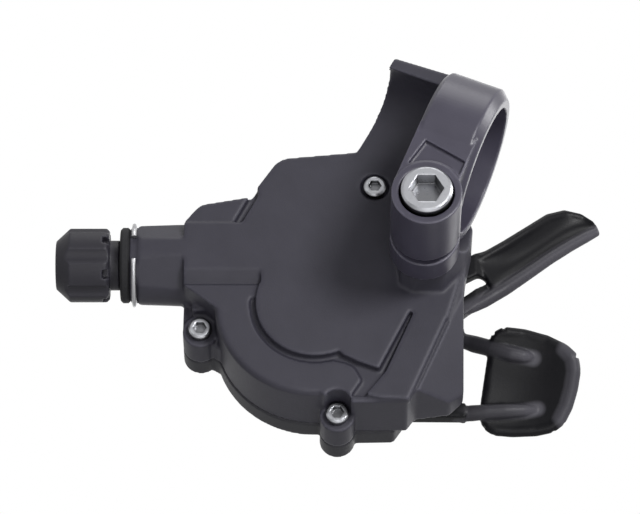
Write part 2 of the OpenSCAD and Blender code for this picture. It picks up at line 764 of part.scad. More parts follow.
module pull_lever_spring() {
    color(dull_steel) at_pivot()
        coil([0, 0], carrier_y + carrier_w + 0.1, floor_y - 0.1, hub_neck_r + 0.9, 0.4);
}

// Round neck with two flats that turns the pull lever
module hub_section(gap = 0) {
    intersection() {
        circle(r = hub_neck_r + gap, $fn = fine);
        square([3 * hub_neck_r, hub_flats + 2 * gap], center = true);
    }
}

module lever_carrier() {
    color(steel) at_pivot() difference() {
        union() {
            slab(carrier_y, carrier_y + carrier_w) {
                circle(r = 6, $fn = medium);
                link([0, 0], drive_pin_at, 4.4, 2);
            }
            slab(carrier_y, hub_y) circle(r = hub_neck_r, $fn = fine);
            slab(carrier_y, hub_back - 0.3) hub_section();
        }
        rod([0, 0], carrier_y - 1, hub_back + 1, axle_r + run_gap);
        rod(drive_pin_at, carrier_y - 1, carrier_y + 3, drive_pin_r, coarse);
    }
}

module drive_pawl() {
    nose = (drive_r + 0.15) * [cos(drive_nose_angle), sin(drive_nose_angle)];
    color(steel) at_pivot() difference() {
        slab(drive_y + 0.15, drive_y + ratchet_w - 0.1) {
            translate(drive_pin_at) circle(r = 1.8, $fn = medium);
            polygon([
                drive_pin_at + [-1.7, 0], drive_pin_at + [1.2, 1.1], nose + [0, -1.3], nose,
                nose + [-1.3, 0.4], nose + [-2.4, -1.4]
            ]);
        }
        rod(drive_pin_at, drive_y - 1, carrier_y + 1, drive_pin_r + run_gap, coarse);
    }
}

module drive_pawl_pin() {
    color(steel) at_pivot() rod(drive_pin_at, drive_y + 0.15, carrier_y + carrier_w - 0.1, drive_pin_r, coarse);
}

module drive_pawl_spring() {
    color(dull_steel) at_pivot()
        coil(drive_pin_at, carrier_y + carrier_w + 0.1, floor_y - 1, 1.1, 0.2);
}

module pull_lever() {
    near = paddle_reach - paddle_len;
    arm_low = -hub_r - 0.6;
    color(dark_plastic) at_pivot() difference() {
        union() {
            slab(hub_y, hub_back) {
                circle(r = hub_r, $fn = fine);
                polygon([[4, 11.9], [near - 2.6, 3.1], [near - 2.6, 0.5], [8, 6]]);
                polygon([[0, -hub_r], [near + 7, arm_low], [near + 7, arm_low + arm_w], [6, arm_low + arm_w + 0.9]]);
            }
            // Lower arm's root on the paddle
            slab(hub_y, hub_back + 1.4)
                polygon([[near, arm_low], [near + 7, arm_low], [near + 7, arm_low + arm_w], [near, arm_low + arm_w]]);
            // Upper arm, running forward onto the paddle's inner face
            hull() {
                translate([near - 2.8, hub_y + arm_w / 2, 1.8]) sphere(r = arm_w / 2, $fn = 20);
                translate([near + 6.3, 14.5, -2.8]) sphere(r = arm_w / 2 - 0.2, $fn = 20);
            }
            // Paddle with rounded corners, cut from a hollow ball
            rotate([paddle_lean, 0, 0]) intersection() {
                slab(6, 18) flat_outline([
                    [near, -4.2, 1.8], [near + 6, -5.2, 8], [paddle_reach - 0.3, -8.6, 3.4],
                    [paddle_reach - 0.6, -15.5, 8], [paddle_reach - 3.3, -21.6, 3.6],
                    [near - 3.5, -23.6, 2.4], [near - 1.5, -15, 10]
                ]);
                translate([near + 4, paddle_y - paddle_ball_r, -15.5]) difference() {
                    sphere(r = paddle_ball_r + pad_t, $fn = fine);
                    sphere(r = paddle_ball_r, $fn = fine);
                }
            }
        }
        slab(hub_y - 1, hub_back + 1) hub_section(0.08);
        // Lightening window in the hub
        slab(hub_y - 1, hub_back + 1) difference() {
            polygon([[6.5, -7.8], [20, -9.6], [20, 1.6], [9.4, 4.2]]);
            circle(r = 8.4, $fn = medium);
        }
    }
}

module lever_washer() {
    color(steel) at_pivot() difference() {
        rod([0, 0], hub_back + 0.1, hub_back + 0.9, 6.2);
        rod([0, 0], hub_back - 1, hub_back + 2, 1.6, coarse);
    }
}

module lever_bolt() {
    color(steel) at_pivot() difference() {
        union() {
            rod([0, 0], hub_back - 7.5, hub_back + 0.9 + eps, 1.5, coarse);
            rod([0, 0], hub_back + 0.9, hub_back + 2.7, 3.4);
        }
        hexagon([0, 0], hub_back + 1.3, hub_back + 4, 3);
    }
}

module release_lever() {
    tip = release_reach;
    color(dark_plastic) at_pivot() difference() {
        union() {
            // Root plate with two struts, the lower one running on as a rib under the blade
            slab(release_y, release_y + release_w) {
                translate(release_pin_at) circle(r = 3, $fn = medium);
                flat_outline([
                    [15.4, 5.9, 0], [25.9, 15.6, 2], [33.4, 20.4, 0], [33.4, 17.8, 0], [31.4, 14.6, 1],
                    [34, 13.4, 1], [tip - 7, 19.6, 0], [tip - 6.2, 18.1, 0], [33, 9.6, 1], [27.9, 5.7, 2],
                    [23.8, 2.4, 2], [17, 0.4, 0]
                ]);
            }
            // Thumb blade, cut from a tube's wall
            intersection() {
                slab(release_y, release_y + 9) flat_outline([
                    [28.8, 17.4, 0], [39.3, 24.9, 3], [42.5, 27.6, 3], [tip - 1, 24.2, 3], [tip + 0.2, 19.8, 1.2],
                    [47.2, 20, 2], [38.8, 14.1, 4], [31, 8.2, 0], [30.2, 12, 0]
                ]);
                translate([38, blade_y, 18.4]) rotate([0, -blade_angle, 0]) rotate([0, 0, blade_lean])
                    translate([0, -blade_tube_r, -5]) difference() {
                        cross_rod(-30, 30, blade_tube_r + pad_t);
                        cross_rod(-31, 31, blade_tube_r);
                    }
            }
        }
        rod(release_pin_at, base_y - 1, base_back, pin_r + run_gap);
        // Window between the two struts
        slab(release_y - 2, release_y + release_w + 3)
            flat_outline([[20.4, 5.6, 0.6], [25.4, 10.4, 0.6], [28.4, 12, 0.8], [30.2, 10.9, 0.6], [24.8, 6.8, 0.6]]);
    }
}

housing();
base_cover();
clamp_band();
clamp_bolt();
clamp_nut();
cover_screw_left();
cover_screw_bottom();
cover_screw_upper();
barrel_adjuster();
adjuster_seal();
adjuster_clip();
main_axle();
cable_spool();
hold_ratchet();
drive_ratchet();
spool_spring();
hold_pawl();
hold_pawl_pin();
hold_pawl_spring();
lever_carrier();
drive_pawl();
drive_pawl_pin();
drive_pawl_spring();
pull_lever();
pull_lever_spring();
lever_washer();
lever_bolt();
release_lever();
release_pin();
release_spring();
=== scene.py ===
import bpy
import bmesh
import math
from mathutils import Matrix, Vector
from mathutils.kdtree import KDTree


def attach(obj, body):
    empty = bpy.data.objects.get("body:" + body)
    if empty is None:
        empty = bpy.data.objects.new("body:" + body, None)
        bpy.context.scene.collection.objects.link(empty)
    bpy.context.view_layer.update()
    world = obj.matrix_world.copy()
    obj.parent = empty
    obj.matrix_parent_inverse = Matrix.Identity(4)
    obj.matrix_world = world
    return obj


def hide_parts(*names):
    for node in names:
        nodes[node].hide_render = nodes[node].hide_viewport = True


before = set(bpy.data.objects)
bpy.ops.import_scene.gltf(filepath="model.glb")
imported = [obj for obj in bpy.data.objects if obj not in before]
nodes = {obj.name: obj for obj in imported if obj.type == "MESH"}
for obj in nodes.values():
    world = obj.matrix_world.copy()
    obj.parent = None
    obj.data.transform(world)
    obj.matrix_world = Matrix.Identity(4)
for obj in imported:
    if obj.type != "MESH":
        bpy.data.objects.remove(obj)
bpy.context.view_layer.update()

mm = 0.001

# The main pivot at the level of the ring band on the front face
pivot = Vector((-23.5, 12.3, -21.1)) * mm

print("camera and lights")

cameraSettings = {
    "target": pivot + Vector((0.86, 6, 12.17)) * mm,
    "elevation": -28,
    "distance": 0.75,
    "pixelsPerMm": 5.8,
    "frameWidth": 640,
    "sensorWidth": 36,
    "clip": (0.01, 20),
}


def addCamera(settings):
    data = bpy.data.cameras.new("photoCamera")
    camera = bpy.data.objects.new("photoCamera", data)
    bpy.context.scene.collection.objects.link(camera)
    tilt = math.radians(settings["elevation"])
    away = Vector((0, -math.cos(tilt), math.sin(tilt))) * settings["distance"]
    camera.location = settings["target"] + away
    camera.rotation_euler = (math.pi / 2 - tilt, 0, 0)
    seen = settings["frameWidth"] / settings["pixelsPerMm"] * mm
    data.sensor_width = settings["sensorWidth"]
    data.lens = data.sensor_width * settings["distance"] / seen
    data.clip_start, data.clip_end = settings["clip"]
    bpy.context.scene.camera = camera


addCamera(cameraSettings)
bpy.context.scene.view_settings.view_transform = "Standard"

# Soft disks, placed in metres and aimed at the object's middle
lampSettings = {
    "key": {"at": (0.30, -0.62, 0.03), "size": 0.22, "watts": 7.0},
    "topSoft": {"at": (0.05, -0.16, 0.60), "size": 0.40, "watts": 1.6},
    "leftFill": {"at": (-0.55, -0.45, 0.00), "size": 0.40, "watts": 0.7},
    "rightRim": {"at": (0.55, 0.02, 0.22), "size": 0.22, "watts": 1.9},
    "lowFill": {"at": (0.02, -0.50, -0.34), "size": 0.30, "watts": 1.3},
    "behind": {"at": (0.10, 0.60, 0.25), "size": 0.60, "watts": 1.5},
}


def addLamps(settings):
    for name, lamp in settings.items():
        data = bpy.data.lights.new(name, "AREA")
        data.shape = "DISK"
        data.size = lamp["size"]
        data.energy = lamp["watts"]
        obj = bpy.data.objects.new(name, data)
        obj.location = lamp["at"]
        aim = cameraSettings["target"] - obj.location
        obj.rotation_euler = aim.to_track_quat("-Z", "Y").to_euler()
        bpy.context.scene.collection.objects.link(obj)


addLamps(lampSettings)


def addNode(tree, kind, **values):
    # A shader node with its properties and inputs set; an input's name has _ where it has a space
    node = tree.nodes.new(kind)
    for key, value in values.items():
        if hasattr(node, key):
            setattr(node, key, value)
        else:
            node.inputs[key.replace("_", " ")].default_value = value
    return node


def addMath(tree, operation, first, second, clamp=False):
    # The result of a sum whose two values are sockets or plain numbers
    node = addNode(tree, "ShaderNodeMath", operation=operation, use_clamp=clamp)
    for socket, value in zip(node.inputs, (first, second)):
        if isinstance(value, (int, float)):
            socket.default_value = value
        else:
            tree.links.new(value, socket)
    return node.outputs[0]


# The light that falls on the object, and the white that is seen behind it
worldSettings = {"light": (0.80, 0.82, 0.85, 1), "level": 0.10, "seen": (1, 1, 1, 1), "seenLevel": 1}


def whiteSeen(tree):
    # 1 where the camera, a reflection or clear glass looks at it
    rays = addNode(tree, "ShaderNodeLightPath").outputs
    direct = addMath(tree, "MAXIMUM", rays["Is Camera Ray"], rays["Is Glossy Ray"])
    return addMath(tree, "MAXIMUM", direct, rays["Is Transmission Ray"])


def paintWorld(settings):
    world = bpy.data.worlds.new("studio")
    bpy.context.scene.world = world
    world.use_nodes = True
    tree = world.node_tree
    tree.nodes.clear()
    light = addNode(tree, "ShaderNodeBackground", Color=settings["light"], Strength=settings["level"])
    white = addNode(tree, "ShaderNodeBackground", Color=settings["seen"], Strength=settings["seenLevel"])
    mix = addNode(tree, "ShaderNodeMixShader")
    out = addNode(tree, "ShaderNodeOutputWorld")
    for source, socket in zip((whiteSeen(tree), light.outputs[0], white.outputs[0]), mix.inputs):
        tree.links.new(source, socket)
    tree.links.new(mix.outputs[0], out.inputs[0])


paintWorld(worldSettings)

floorSettings = {"level": -0.46, "width": 4.0, "color": (0.86, 0.86, 0.86, 1), "roughness": 0.9, "glow": 0.3}


def addFloor(settings):
    bpy.ops.mesh.primitive_plane_add(size=settings["width"], location=(0, 0, settings["level"]))
    floor = bpy.context.active_object
    floor.name = "floor"
    paper = bpy.data.materials.new("paleFloor")
    paper.use_nodes = True
    shader = paper.node_tree.nodes["Principled BSDF"]
    shader.inputs["Base Color"].default_value = settings["color"]
    shader.inputs["Roughness"].default_value = settings["roughness"]
    shader.inputs["Emission Color"].default_value = (1, 1, 1, 1)
    shader.inputs["Emission Strength"].default_value = settings["glow"]
    floor.data.materials.append(paper)


bpy.ops.object.select_all(action="DESELECT")
addFloor(floorSettings)

print("materials")


def linear(r, g, b):
    # A colour as seen on a screen, 0 to 255, in Blender's linear values
    seen = (r / 255, g / 255, b / 255)
    return tuple(c / 12.92 if c <= 0.04045 else ((c + 0.055) / 1.055) ** 2.4 for c in seen) + (1,)


def newGroup(name, inputs, outputs):
    # A node group whose sockets are given as name and kind
    group = bpy.data.node_groups.new(name, "ShaderNodeTree")
    for way, sockets in (("INPUT", inputs), ("OUTPUT", outputs)):
        for label, kind in sockets.items():
            group.interface.new_socket(label, in_out=way, socket_type="NodeSocket" + kind)
    return group, group.nodes.new("NodeGroupInput"), group.nodes.new("NodeGroupOutput")


edgeWearSettings = {
    "outer": (0.5, 0.53),  # pointiness at which the wear starts and is full
    "bend": (0.99, 0.93),  # the same for the cosine between the rounded and the true normal
    "bevelSamples": 4,
    "patchScale": 420.0,
    "patchDetail": 3.0,
}


def buildEdgeWear(settings):
    # 1 on rounded outer edges, where handling has polished the surface, broken up by noise
    group, start, end = newGroup("edgeWear", {"Radius": "Float", "Patchy": "Float"}, {"Mask": "Float"})
    link = group.links.new
    shape = addNode(group, "ShaderNodeNewGeometry")
    low, high = settings["outer"]
    outer = addNode(group, "ShaderNodeMapRange", clamp=True, From_Min=low, From_Max=high)
    link(shape.outputs["Pointiness"], outer.inputs["Value"])
    around = addNode(group, "ShaderNodeBevel", samples=settings["bevelSamples"])
    link(start.outputs["Radius"], around.inputs["Radius"])
    turned = addNode(group, "ShaderNodeVectorMath", operation="DOT_PRODUCT")
    link(shape.outputs["Normal"], turned.inputs[0])
    link(around.outputs[0], turned.inputs[1])
    low, high = settings["bend"]
    bend = addNode(group, "ShaderNodeMapRange", clamp=True, From_Min=low, From_Max=high)
    link(turned.outputs["Value"], bend.inputs["Value"])
    where = addNode(group, "ShaderNodeTexCoord")
    patches = addNode(
        group, "ShaderNodeTexNoise", Scale=settings["patchScale"], Detail=settings["patchDetail"])
    link(where.outputs["Object"], patches.inputs["Vector"])
    hole = addMath(group, "MULTIPLY", patches.outputs["Fac"], start.outputs["Patchy"])
    left = addMath(group, "SUBTRACT", 1, hole, clamp=True)
    edge = addMath(group, "MULTIPLY", outer.outputs[0], bend.outputs[0], clamp=True)
    link(addMath(group, "MULTIPLY", edge, left, clamp=True), end.inputs["Mask"])
    return group


edgeWear = buildEdgeWear(edgeWearSettings)

grainSettings = {
    "grainDetail": 2.0,
    "grainRoughness": 0.6,
    "cloudScale": 170.0,
    "cloudDetail": 4.0,
    "cloudRoughness": 0.6,
    "spread": 0.07,  # how far the grain moves the roughness, up and down
}


def buildMouldedGrain(settings):
    # Fine moulded grain, cloudy colour, and paler spots: worn edges, and on the levers painted highlight
    group, start, end = newGroup(
        "mouldedGrain",
        {"Color": "Color", "Pale Color": "Color", "Roughness": "Float", "Grain Size": "Float",
         "Cloud": "Float", "Edge": "Float"},
        {"Color": "Color", "Roughness": "Float", "Height": "Float"})
    link = group.links.new
    where = addNode(group, "ShaderNodeTexCoord")
    grain = addNode(
        group, "ShaderNodeTexNoise", Detail=settings["grainDetail"], Roughness=settings["grainRoughness"])
    link(where.outputs["Object"], grain.inputs["Vector"])
    link(start.outputs["Grain Size"], grain.inputs["Scale"])
    cloud = addNode(
        group, "ShaderNodeTexNoise", Scale=settings["cloudScale"], Detail=settings["cloudDetail"],
        Roughness=settings["cloudRoughness"])
    link(where.outputs["Object"], cloud.inputs["Vector"])
    cloudy = addMath(group, "MULTIPLY", cloud.outputs["Fac"], start.outputs["Cloud"])
    color = addNode(group, "ShaderNodeMix", data_type="RGBA")
    link(addMath(group, "ADD", cloudy, start.outputs["Edge"], clamp=True), color.inputs[0])
    link(start.outputs["Color"], color.inputs[6])  # the mix node's two colours and its result
    link(start.outputs["Pale Color"], color.inputs[7])
    link(color.outputs[2], end.inputs["Color"])
    spread = addNode(
        group, "ShaderNodeMapRange", To_Min=-settings["spread"], To_Max=settings["spread"])
    link(grain.outputs["Fac"], spread.inputs["Value"])
    link(addMath(group, "ADD", spread.outputs[0], start.outputs["Roughness"]), end.inputs["Roughness"])
    link(grain.outputs["Fac"], end.inputs["Height"])
    return group


mouldedGrain = buildMouldedGrain(grainSettings)

# What a finish has unless it says otherwise
commonFinish = {
    "grain": 3200,  # noise scale of the grain
    "depth": 0.00002,  # height of the grain, in metres
    "bump": 0.7,
    "cloud": 0.25,  # how far the clouds reach towards the pale colour
    "corner": 0.00035,  # radius, in metres, by which shading rounds the corners
    "cornerSamples": 4,
    "specular": 0.4,
    "metallic": 0.0,
    "wearAndHighlight": 0.0,  # how pale the worn edges are, and on the levers the painted highlight
    "worn": 0.0009,  # radius, in metres, in which an edge counts as worn
    "patchy": 0.4,
    "highlightAttribute": None,  # an attribute that marks where painted highlight goes, instead of the worn edges
    "recess": 0.0,  # reach, in metres, of the painted shade that darkens the colour in recesses
    "recessSamples": 8,
}

# Colours as seen on a screen, 0 to 255
finishSettings = {
    "housingNylon": {
        "color": (30, 29, 36), "pale": (60, 59, 68), "roughness": 0.52, "specular": 0.2, "wearAndHighlight": 0.7},
    "coverNylon": {
        "color": (24, 24, 28), "pale": (44, 43, 48), "roughness": 0.54, "specular": 0.2, "wearAndHighlight": 0.7},
    # Near-black nylon whose pale colour is painted highlight on the rims and arms
    "leverNylon": {
        "color": (6, 6, 8), "pale": (62, 61, 66), "roughness": 0.4, "cloud": 0.04, "specular": 0.09,
        "wearAndHighlight": 0.8, "highlightAttribute": "paintedHighlight"},
    "knobNylon": {
        "color": (22, 21, 26), "pale": (46, 45, 52), "roughness": 0.5, "specular": 0.18, "wearAndHighlight": 0.8},
    "bandPaint": {
        "color": (36, 34, 44), "pale": (78, 76, 88), "roughness": 0.36, "grain": 5200, "depth": 0.000008,
        "specular": 0.3, "wearAndHighlight": 0.6},
    "sealRubber": {
        "color": (16, 16, 18), "pale": (30, 30, 33), "roughness": 0.75, "grain": 2400, "specular": 0.2},
    # Zinc-plated steel, with painted shade in its recesses
    "zincSteel": {
        "color": (148, 149, 153), "pale": (188, 189, 193), "roughness": 0.3, "grain": 2600,
        "depth": 0.000006, "metallic": 1.0, "recess": 0.004},
    "plainSteel": {
        "color": (130, 130, 133), "pale": (165, 165, 170), "roughness": 0.38, "grain": 2000,
        "depth": 0.000006, "metallic": 1.0},
    "springWire": {
        "color": (150, 150, 152), "pale": (190, 190, 194), "roughness": 0.3, "grain": 2600,
        "depth": 0.000004, "metallic": 1.0},
    "spoolAcetal": {"color": (118, 118, 121), "pale": (140, 140, 144), "roughness": 0.4},
}


def makeFinish(name, settings):
    material = bpy.data.materials.new(name)
    material.use_nodes = True
    tree = material.node_tree
    link = tree.links.new
    shader = tree.nodes["Principled BSDF"]
    shader.inputs["Specular IOR Level"].default_value = settings["specular"]
    shader.inputs["Metallic"].default_value = settings["metallic"]
    surface = addNode(
        tree, "ShaderNodeGroup", node_tree=mouldedGrain, Color=linear(*settings["color"]),
        Pale_Color=linear(*settings["pale"]), Roughness=settings["roughness"],
        Grain_Size=settings["grain"], Cloud=settings["cloud"])
    if settings["wearAndHighlight"]:
        # A named attribute places the pale colour as painted highlight; otherwise the worn edges get it
        if settings["highlightAttribute"]:
            mask = addNode(tree, "ShaderNodeAttribute", attribute_name=settings["highlightAttribute"]).outputs["Fac"]
        else:
            mask = addNode(
                tree, "ShaderNodeGroup", node_tree=edgeWear, Radius=settings["worn"],
                Patchy=settings["patchy"]).outputs["Mask"]
        link(addMath(tree, "MULTIPLY", mask, settings["wearAndHighlight"]), surface.inputs["Edge"])
    color = surface.outputs["Color"]
    # Painted shade: ambient occlusion darkens the colour in recesses, such as a bolt's hex socket
    if settings["recess"]:
        recess = addNode(
            tree, "ShaderNodeAmbientOcclusion", samples=settings["recessSamples"],
            Distance=settings["recess"])
        link(color, recess.inputs["Color"])
        color = recess.outputs["Color"]
    link(color, shader.inputs["Base Color"])
    link(surface.outputs["Roughness"], shader.inputs["Roughness"])
    corner = addNode(
        tree, "ShaderNodeBevel", samples=settings["cornerSamples"], Radius=settings["corner"])
    bump = addNode(tree, "ShaderNodeBump", Distance=settings["depth"], Strength=settings["bump"])
    link(surface.outputs["Height"], bump.inputs["Height"])
    link(corner.outputs[0], bump.inputs["Normal"])
    link(bump.outputs[0], shader.inputs["Normal"])
    return material


finishes = {name: makeFinish(name, {**commonFinish, **own}) for name, own in finishSettings.items()}

nodeFinish = {
    "housing": "housingNylon", "base_cover": "coverNylon", "clamp_band": "bandPaint",
    "clamp_bolt": "zincSteel", "clamp_nut": "zincSteel", "cover_screw_left": "zincSteel",
    "cover_screw_bottom": "zincSteel", "cover_screw_upper": "zincSteel", "barrel_adjuster": "knobNylon",
    "adjuster_seal": "sealRubber", "adjuster_clip": "springWire", "main_axle": "plainSteel",
    "cable_spool": "spoolAcetal", "hold_ratchet": "plainSteel", "drive_ratchet": "plainSteel",
    "spool_spring": "springWire", "hold_pawl": "plainSteel", "hold_pawl_pin": "plainSteel",
    "hold_pawl_spring": "springWire", "lever_carrier": "plainSteel", "drive_pawl": "plainSteel",
    "drive_pawl_pin": "plainSteel", "drive_pawl_spring": "springWire", "pull_lever": "leverNylon",
    "pull_lever_spring": "springWire", "lever_washer": "plainSteel", "lever_bolt": "zincSteel",
    "release_lever": "leverNylon", "release_pin": "plainSteel", "release_spring": "springWire",
}


def giveFinish(piece, node):
    # Gives a piece the finish of the CAD node that it is or replaces
    piece.data.materials.clear()
    piece.data.materials.append(finishes[nodeFinish[node]])


for name in nodeFinish:
    giveFinish(nodes[name], name)

print("shared modelling steps")

modellingSettings = {
    "barSides": 12,
    "between": 6,  # steps from one disk of a bar to the next, where its middle line is marked
    "gridSize": 2,  # metres; the flat grid starts well away from where its points go
    "gridAway": 5,
    "gridReach": 0.01,
    "shellLevels": 2,
    "mergeGap": 0.000004,
    "smoothing": 0.5,
}


def onlySelected(*objs):
    bpy.ops.object.select_all(action="DESELECT")
    for obj in objs:
        obj.select_set(True)
    bpy.context.view_layer.objects.active = objs[0]


def startPiece(name):
    piece = bpy.context.active_object
    piece.name = name
    piece.data.name = name
    onlySelected(piece)
    return piece


def finishModifier(piece, kind, **values):
    onlySelected(piece)
    modifier = piece.modifiers.new(kind.lower(), kind)
    for key, value in values.items():
        setattr(modifier, key, value)
    bpy.ops.object.modifier_apply(modifier=modifier.name)


def closeEdit():
    # Turns all faces outwards and leaves edit mode
    bpy.ops.mesh.select_all(action="SELECT")
    bpy.ops.mesh.normals_make_consistent(inside=False)
    bpy.ops.object.mode_set(mode="OBJECT")


def pickPoints(piece, place, reach):
    # Selects the points that lie within reach of a place
    bpy.ops.mesh.select_mode(type="VERT")
    bpy.ops.mesh.select_all(action="DESELECT")
    mesh = bmesh.from_edit_mesh(piece.data)
    for point in mesh.verts:
        point.select = (point.co - place).length < reach
    mesh.select_flush(True)
    bmesh.update_edit_mesh(piece.data)


def addBar(name, stations):
    # A closed round bar: a disk extruded from place to place, each given as x, y, z and radius
    places = [Vector(station[:3]) * mm for station in stations]
    radii = [station[3] * mm for station in stations]
    way = places[1] - places[0]
    bpy.ops.mesh.primitive_circle_add(
        vertices=modellingSettings["barSides"], radius=radii[0], fill_type="NGON", location=places[0],
        rotation=way.to_track_quat("Z", "Y").to_euler())
    bar = startPiece(name)
    bpy.ops.object.transform_apply()
    bpy.ops.object.mode_set(mode="EDIT")
    bpy.ops.mesh.select_all(action="SELECT")
    for i in range(1, len(places)):
        bpy.ops.mesh.extrude_region_move(TRANSFORM_OT_translate={"value": places[i] - places[i - 1]})
        grow = radii[i] / radii[i - 1]
        bpy.ops.transform.resize(value=(grow, grow, grow), center_override=places[i])
    closeEdit()
    return bar


def addShell(name, rows, wall):
    # A curved plate: a flat grid whose points are pulled, one by one, to their places in the rows
    size, away = modellingSettings["gridSize"], modellingSettings["gridAway"]
    levels = modellingSettings["shellLevels"]
    across, along = len(rows[0]) - 1, len(rows) - 1
    bpy.ops.mesh.primitive_grid_add(x_subdivisions=across, y_subdivisions=along, size=size)
    shell = startPiece(name)
    bpy.ops.object.mode_set(mode="EDIT")
    bpy.ops.transform.translate(value=(away, 0, 0))
    for j, row in enumerate(rows):
        for i, place in enumerate(row):
            now = Vector((away - size / 2 + size * i / across, size * j / along - size / 2, 0))
            pickPoints(shell, now, modellingSettings["gridReach"])
            bpy.ops.transform.translate(value=Vector(place) * mm - now)
    closeEdit()
    finishModifier(shell, "SUBSURF", levels=levels, render_levels=levels)
    finishModifier(shell, "SOLIDIFY", thickness=wall * mm, offset=0)
    return shell


def copyNode(name, node):
    # A merged copy of a CAD node's mesh
    piece = nodes[node].copy()
    piece.data = nodes[node].data.copy()
    piece.name = name
    piece.data.name = name
    piece.parent = None
    piece.matrix_world = nodes[node].matrix_world
    bpy.context.scene.collection.objects.link(piece)
    onlySelected(piece)
    bpy.ops.object.transform_apply()
    bpy.ops.object.mode_set(mode="EDIT")
    bpy.ops.mesh.select_all(action="SELECT")
    bpy.ops.mesh.remove_doubles(threshold=modellingSettings["mergeGap"])
    bpy.ops.object.mode_set(mode="OBJECT")
    return piece


def cutOff(piece, point, normal):
    # Takes away what lies beyond the plane, in millimetres from the pivot, and closes the cut
    onlySelected(piece)
    bpy.ops.object.mode_set(mode="EDIT")
    bpy.ops.mesh.select_all(action="SELECT")
    bpy.ops.mesh.bisect(
        plane_co=pivot + Vector(point) * mm, plane_no=normal, use_fill=True, clear_outer=True)
    bpy.ops.object.mode_set(mode="OBJECT")


def placeParts(parts, lean):
    # Turns parts modelled about the pivot by the lean and sets them at the pivot
    for part in parts:
        part.rotation_euler = (math.radians(lean), 0, 0)
        part.location = pivot
    onlySelected(*parts)
    bpy.ops.object.transform_apply()


def mould(piece, grid, rounds, keep=1):
    # Melts a piece into one skin with the soft corners of a moulding, and keeps a share of its faces
    finishModifier(piece, "REMESH", mode="VOXEL", voxel_size=grid * mm)
    finishModifier(piece, "SMOOTH", factor=modellingSettings["smoothing"], iterations=rounds)
    if keep < 1:
        finishModifier(piece, "DECIMATE", ratio=keep)
    onlySelected(piece)
    bpy.ops.object.shade_smooth()


def joinParts(piece, parts):
    onlySelected(piece, *parts)
    bpy.ops.object.join()


def midPoints(bars):
    # The middles of the disks that each bar was extruded from, and points between them
    sides, between = modellingSettings["barSides"], modellingSettings["between"]
    found = []
    for bar in bars:
        points = bar.data.vertices
        disks = [points[i:i + sides] for i in range(0, len(points), sides)]
        middles = [sum((v.co for v in disk), Vector()) / len(disk) for disk in disks]
        for first, second in zip(middles, middles[1:]):
            found += [first.lerp(second, k / between) for k in range(between + 1)]
    return found


def markPaintedHighlight(piece, bright, reach):
    # Writes 1 near the bars and rims, fading to 0 away from them: where the pale colour paints highlight
    tree = KDTree(len(bright))
    for i, place in enumerate(bright):
        tree.insert(place, i)
    tree.balance()
    paintedHighlight = piece.data.attributes.new("paintedHighlight", "FLOAT", "POINT")
    near, far = reach
    for vertex in piece.data.vertices:
        gap = tree.find(vertex.co)[2] / mm
        paintedHighlight.data[vertex.index].value = min(1, max(0, (far - gap) / (far - near)))


print("pull lever")

# Places as seen in the photo: x to the right, y away from the camera, z up, in millimetres
pullLeverSettings = {
    "lean": 28,
    "cut": ((25.9, 0, 0), (1, 0, 0)),  # the plane at which the moulded root ends
    "outline": [
        ((31.2, -5.5), (35.4, -5.6), (39.9, -6.7), (44.3, -9.1)),
        ((30.5, -10.3), (35.3, -10.6), (40.1, -11.5), (44.6, -12.9)),
        ((29.9, -15.0), (34.8, -15.2), (39.5, -15.8), (43.9, -16.6)),
        ((29.2, -19.0), (34.0, -19.2), (38.6, -19.4), (42.6, -19.8)),
        ((29.5, -21.9), (33.4, -22.2), (37.6, -22.0), (41.3, -21.2)),
    ],
    # Depth of the paddle's middle surface: a slope, less a fall to the right, the left and both ends
    "bowl": {
        "depth": 13.4, "slope": 0.25, "slopeFrom": -15.5, "middle": 36,
        "rightLength": 9, "rightFall": 2.4, "leftLength": 7, "leftFall": 0.3,
        "endsFrom": -15, "endsLength": 7.5, "endsFall": 1.2},
    # Middle line of the thick rim: x, z and radius
    "rim": [
        (30.9, -7.2, 0.8), (31.3, -5.8, 0.9), (32.8, -5.1, 1.0), (36.2, -5.5, 1.0), (40.0, -6.6, 1.05),
        (43.0, -8.1, 1.1), (44.5, -9.6, 1.15), (44.8, -11.8, 1.15), (44.3, -14.8, 1.15), (43.4, -17.8, 1.15),
        (42.2, -20.2, 1.1), (40.7, -21.4, 1.05), (38.0, -22.0, 1.05), (34.0, -22.2, 1.0), (31.0, -22.0, 0.95),
        (29.6, -21.1, 0.9), (29.1, -19.2, 0.85), (29.7, -15.0, 0.8), (30.4, -10.5, 0.8)],
    "highlitRim": (5, 10),  # the rim's outer side, which gets painted highlight, from and to in the list above
    "wall": 1.7,
    "upperArm": [
        (24.6, 17.3, -6.3, 1.2), (27.6, 15.9, -7.2, 1.55), (30.8, 14.2, -8.0, 1.5), (34.2, 13.0, -8.9, 1.3),
        (36.4, 12.7, -9.3, 1.05), (37.7, 12.9, -9.6, 0.6)],
    "lowerArm": [
        (24.6, 10.8, -19.2, 1.3), (27.0, 10.6, -19.0, 1.45), (29.5, 10.4, -18.8, 1.35),
        (33.0, 10.5, -18.6, 1.3), (36.2, 10.8, -18.5, 1.1), (38.4, 11.5, -18.4, 0.6)],
    "grid": 0.2,
    "rounds": 12,
    # Reach, in millimetres, of the painted highlight: full within the first, none beyond the second
    "paintedHighlight": (0.9, 1.7),
}


def bowlDepth(bowl, x, z):
    # How far from the camera the paddle's middle surface lies
    right = max(0, (x - bowl["middle"]) / bowl["rightLength"]) ** 2 * bowl["rightFall"]
    left = max(0, (bowl["middle"] - x) / bowl["leftLength"]) ** 2 * bowl["leftFall"]
    ends = ((z - bowl["endsFrom"]) / bowl["endsLength"]) ** 2 * bowl["endsFall"]
    return bowl["depth"] + bowl["slope"] * (z - bowl["slopeFrom"]) - right - left - ends


